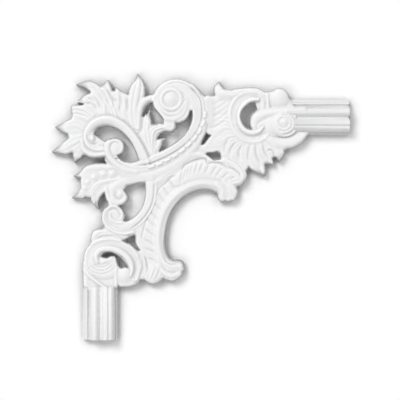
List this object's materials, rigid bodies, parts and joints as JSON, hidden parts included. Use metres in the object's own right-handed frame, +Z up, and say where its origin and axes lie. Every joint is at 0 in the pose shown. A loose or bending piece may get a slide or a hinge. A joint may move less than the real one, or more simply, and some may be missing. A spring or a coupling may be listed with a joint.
{
  "type": "panel moulding corner piece",
  "caption": "Openwork acanthus and scroll corner for a wall panel moulding, with two straight moulded arms at a right angle and a flat back.",
  "frame": {"origin": "where the centre lines of the two straight arms cross, on the flat back that is glued to the wall", "axes": "+X runs out along the level arm, +Z is up so the upright arm runs down -Z, the carved front faces -Y and the back faces +Y"},
  "size_m": [0.2977, 0.0172, 0.2661],
  "materials": {
    "white_casting": "smooth primed white"
  },
  "bodies": {
    "root": {"corner_piece": "white_casting"}
  },
  "joints": []
}
